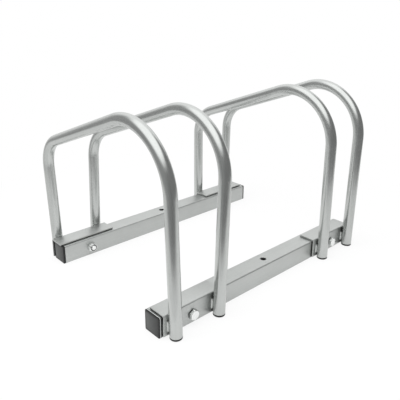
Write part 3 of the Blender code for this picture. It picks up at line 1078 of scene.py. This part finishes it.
lockNut = {
    "hex": 0.0058,
    "collar": 0.0024,
    "wall": 0.0007,
    "ring": 0.0102,
    "ringHeight": 0.0020,
    "slide": 0.0002,
    "gap": 0.0003,
    "flatFace": 0.97,
    "softEdge": 0.0004,
    "ringEdge": 0.0003,
    "ringSides": 64,
}


def pocketFloor():
    # where the ring's pocket ends, measured from the nut's seat
    height = lockNut["hex"] + lockNut["collar"]
    return height - lockNut["ringHeight"] - 2 * lockNut["slide"]


def makeNutMesh():
    bore = bolt["diameter"] / 2 + lockNut["slide"]
    flatRim = bolt["flats"] / 2 * lockNut["flatFace"]
    pocket = lockNut["ring"] / 2 + lockNut["slide"]
    collar = pocket + lockNut["wall"]
    height = lockNut["hex"] + lockNut["collar"]
    soft, lip = lockNut["softEdge"], lockNut["wall"] / 2
    inlet = [(bore, soft), (bore + soft, 0)]
    neck = arc((collar + soft, lockNut["hex"] + soft), soft, -90, -180, 4)
    neck += arc((collar - lip, height - lip), lip, 0, 180, 8)
    neck += [(pocket, pocketFloor()), (bore, pocketFloor())]
    rings = [circle(r, z, bolt["sides"]) for r, z in inlet]
    rings += hexChamfer(0, 1, flatRim) + hexChamfer(lockNut["hex"], -1, flatRim)[::-1]
    rings += [circle(r, z, bolt["sides"]) for r, z in neck]
    return loft("lockNut", rings, hollow=True)


def makeNylonMesh():
    inner, outer = bolt["diameter"] / 2 + lockNut["slide"], lockNut["ring"] / 2
    height, soft = lockNut["ringHeight"], lockNut["ringEdge"]
    profile = arc((inner + soft, soft), soft, 180, 270, 4)
    profile += arc((outer - soft, soft), soft, 270, 360, 4)
    profile += arc((outer - soft, height - soft), soft, 0, 90, 4)
    profile += arc((inner + soft, height - soft), soft, 90, 180, 4)
    rings = [circle(r, z, lockNut["ringSides"]) for r, z in profile]
    return loft("nylonRing", rings, hollow=True)


def addFasteners():
    bearing = rail["middleY"] + rail["side"] / 2 + 2 * bracket["gap"] + bracket["plate"]
    seat = rail["middleY"] - rail["side"] / 2 - lockNut["gap"]
    low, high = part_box("front_bolt_1")
    boltMesh = makeBoltMesh(high.y - low.y - bolt["head"])
    nutMesh, ringMesh = makeNutMesh(), makeNylonMesh()
    for word, side in sides.items():
        outward = Euler((math.pi / 2, 0, math.pi if side > 0 else 0)).to_matrix().to_4x4()
        inward = Euler((math.pi / 2, 0, 0 if side > 0 else math.pi)).to_matrix().to_4x4()
        for pair, x in enumerate(rail["pairs"], 1):
            head = Matrix.Translation((x, side * bearing, rail["side"] / 2)) @ outward
            nut = Matrix.Translation((x, side * seat, rail["side"] / 2)) @ inward
            ring = nut @ Matrix.Translation((0, 0, pocketFloor() + lockNut["slide"]))
            nodes = f"{word}_bolt_{pair}", f"{word}_nut_{pair}", f"{word}_nut_{pair}_nylon_ring"
            settle(addPiece(nodes[0] + "_shown", boltMesh, zinc, "bright_zinc", nodes[0]), head)
            settle(addPiece(nodes[1] + "_shown", nutMesh, zinc, "bright_zinc", nodes[1]), nut)
            settle(addPiece(nodes[2] + "_shown", ringMesh, nylon, "black_nylon", nodes[2]), ring)


addFasteners()
print("Bolts and nuts fitted")


# Studio: pale floor, white air, soft lamps, and a dim room that only shows in reflections

studio = {
    "floor": 4.0,
    "floorTone": 0.90,
    "nearWhite": 0.86,
    "nearMirrored": 0.55,
    "fade": (0.30, 0.55),
    "surround": 0.75,
}
lamps = {
    "overhead": {"place": (-0.3, -0.2, 1.25), "aim": (0, 0, 0.1), "size": (1.3, 1.1),
                 "power": 11.0},
    "leftSide": {"place": (-1.15, 0.55, 0.65), "aim": (0, 0, 0.15), "size": (0.9, 0.8),
                 "power": 4.0},
}
room = {
    "radius": 2.2,
    "step": 4,
    "dim": 0.25,
    "leftWall": {"towards": 150, "halfWidth": 62, "soft": 20, "level": 0.38},
    "backdrop": {"towards": 50, "halfWidth": 55, "soft": 14, "low": 0.97, "high": 1.22,
                 "riseAt": 28, "riseSoft": 8},
    "softbox": {"towards": 208, "height": 68, "halfWidth": 40, "soft": 9, "level": 1.67},
    "litFloor": {"edges": ((231, 0.405), (285, 0.56), (160, 0.68), (330, 0.85)), "soft": 0.055,
                 "level": 0.93, "clear": 0.30, "lift": 0.0006, "rings": 20, "ringStep": 0.04,
                 "farRings": (1.25, 1.5, 1.8)},
}


def seenDirectly(tree):
    # 1 for rays that show the surroundings themselves: straight, mirrored or through glass
    path = addNode(tree, "ShaderNodeLightPath")
    both = addNode(tree, "ShaderNodeMath", {0: path.outputs["Is Camera Ray"],
                                            1: path.outputs["Is Glossy Ray"]}, operation="MAXIMUM")
    every = addNode(tree, "ShaderNodeMath", {0: both.outputs[0],
                                             1: path.outputs["Is Transmission Ray"]},
                    operation="MAXIMUM")
    return every.outputs[0]


def makeWorld():
    world = bpy.data.worlds.new("studioAir")
    world.use_nodes = True
    tree = world.node_tree
    tree.nodes.clear()
    level = studio["surround"]
    air = addNode(tree, "ShaderNodeBackground",
                  {"Color": (level, level, level, 1), "Strength": 1.0})
    white = addNode(tree, "ShaderNodeBackground", {"Color": (1, 1, 1, 1), "Strength": 1.0})
    mix = addNode(tree, "ShaderNodeMixShader",
                  {0: seenDirectly(tree), 1: air.outputs[0], 2: white.outputs[0]})
    addNode(tree, "ShaderNodeOutputWorld", {"Surface": mix.outputs[0]})
    scene.world = world


def makeFloor():
    half = studio["floor"] / 2
    mesh = bpy.data.meshes.new("floor")
    mesh.from_pydata([(-half, -half, 0), (half, -half, 0), (half, half, 0), (-half, half, 0)], [],
                     [(0, 1, 2, 3)])
    floor = bpy.data.objects.new("floor", mesh)
    scene.collection.objects.link(floor)
    material = bpy.data.materials.new("paleFloor")
    material.use_nodes = True
    tree = material.node_tree
    tree.nodes.clear()
    tone = studio["floorTone"]
    matt = addNode(tree, "ShaderNodeBsdfDiffuse", {"Color": (tone, tone, tone, 1)})
    white = addNode(tree, "ShaderNodeEmission", {"Color": (1, 1, 1, 1), "Strength": 1.0})
    spot = addNode(tree, "ShaderNodeTexCoord").outputs["Object"]
    away = addNode(tree, "ShaderNodeVectorMath", {0: spot}, operation="LENGTH")
    mirrored = addNode(tree, "ShaderNodeLightPath").outputs["Is Glossy Ray"]
    near = addNode(tree, "ShaderNodeMapRange",
                   {"Value": mirrored, "To Min": studio["nearWhite"],
                    "To Max": studio["nearMirrored"]})
    share = addNode(tree, "ShaderNodeMapRange",
                    {"Value": away.outputs["Value"], "From Min": studio["fade"][0],
                     "From Max": studio["fade"][1], "To Min": near.outputs[0], "To Max": 1.0},
                    interpolation_type="SMOOTHSTEP")
    amount = addNode(tree, "ShaderNodeMath", {0: share.outputs[0], 1: seenDirectly(tree)},
                     operation="MULTIPLY")
    mix = addNode(tree, "ShaderNodeMixShader",
                  {0: amount.outputs[0], 1: matt.outputs[0], 2: white.outputs[0]})
    addNode(tree, "ShaderNodeOutputMaterial", {"Surface": mix.outputs[0]})
    mesh.materials.append(material)


def softStep(value, middle, soft):
    # 0 well below the middle, 1 well above it
    share = clamp((value - middle) / (2 * soft) + 0.5)
    return share * share * (3 - 2 * share)


def turnBetween(first, second):
    return abs((first - second + 180) % 360 - 180)


def glowTowards(turn, height):
    # brightness of the room in a direction, with its angles in degrees
    left, back, box = room["leftWall"], room["backdrop"], room["softbox"]
    glow = room["dim"]
    share = softStep(-turnBetween(turn, left["towards"]), -left["halfWidth"], left["soft"])
    glow += (left["level"] - glow) * share
    share = softStep(-turnBetween(turn, back["towards"]), -back["halfWidth"], back["soft"])
    rise = softStep(height, back["riseAt"], back["riseSoft"])
    white = back["low"] + (back["high"] - back["low"]) * rise
    glow += (white - glow) * share
    up, boxUp = math.radians(height), math.radians(box["height"])
    across = math.radians(turnBetween(turn, box["towards"]))
    near = math.sin(up) * math.sin(boxUp) + math.cos(up) * math.cos(boxUp) * math.cos(across)
    share = softStep(-math.degrees(math.acos(min(1, near))), -box["halfWidth"], box["soft"])
    return glow + (box["level"] - glow) * share


def floorGlow(x, y):
    # the lit part of the floor ends at straight edges, each by its direction and distance
    lit = room["litFloor"]
    dim = glowTowards(math.degrees(math.atan2(y, x)) % 360, 0)
    share = 1
    for towards, reach in lit["edges"]:
        turn = math.radians(towards)
        away = x * math.cos(turn) + y * math.sin(turn)
        share *= softStep(-away, -reach, lit["soft"])
    return dim + (lit["level"] - dim) * share


def makeRoom():
    # reflections see this shell; light, shadows and the camera pass through it
    points, glows = [], []
    radius, step, lit = room["radius"], room["step"], room["litFloor"]
    rows = 0
    reaches = [lit["clear"] + lit["ringStep"] * i for i in range(lit["rings"])]
    reaches += [*lit["farRings"], radius]
    for reach in reaches:
        for turn in range(0, 360, step):
            angle = math.radians(turn)
            x, y = reach * math.cos(angle), reach * math.sin(angle)
            points.append((x, y, lit["lift"]))
            glows.append(floorGlow(x, y))
        rows += 1
    for height in range(step, 90, step):
        up = math.radians(height)
        level, rise = radius * math.cos(up), radius * math.sin(up)
        for turn in range(0, 360, step):
            angle = math.radians(turn)
            points.append((level * math.cos(angle), level * math.sin(angle), rise))
            glows.append(glowTowards(turn, height))
        rows += 1
    count = 360 // step
    faces = [tuple(range((rows - 1) * count, rows * count))]
    for row in range(rows - 1):
        for i in range(count):
            j = (i + 1) % count
            faces.append((row * count + i, row * count + j, (row + 1) * count + j,
                          (row + 1) * count + i))
    mesh = bpy.data.meshes.new("studioRoom")
    mesh.from_pydata(points, [], faces)
    mesh.attributes.new("glow", "FLOAT", "POINT").data.foreach_set("value", glows)
    shell = bpy.data.objects.new("studioRoom", mesh)
    scene.collection.objects.link(shell)
    material = bpy.data.materials.new("roomLight")
    material.use_nodes = True
    material.cycles.emission_sampling = "NONE"
    tree = material.node_tree
    tree.nodes.clear()
    glow = addNode(tree, "ShaderNodeAttribute", attribute_name="glow").outputs["Fac"]
    light = addNode(tree, "ShaderNodeEmission", {"Color": (1, 1, 1, 1), "Strength": glow})
    addNode(tree, "ShaderNodeOutputMaterial", {"Surface": light.outputs[0]})
    mesh.materials.append(material)
    shell.visible_camera = False
    shell.visible_shadow = False
    shell.visible_diffuse = False


def addLamps():
    for name, lamp in lamps.items():
        data = bpy.data.lights.new(name, "AREA")
        data.shape = "RECTANGLE"
        data.size, data.size_y = lamp["size"]
        data.energy = lamp["power"]
        light = bpy.data.objects.new(name, data)
        light.location = lamp["place"]
        aim = Vector(lamp["aim"]) - Vector(lamp["place"])
        light.rotation_euler = aim.to_track_quat("-Z", "Y").to_euler()
        light.visible_camera = False
        light.visible_glossy = False
        scene.collection.objects.link(light)


makeWorld()
makeFloor()
makeRoom()
addLamps()
scene.view_settings.view_transform = "Standard"
print("Studio lit")
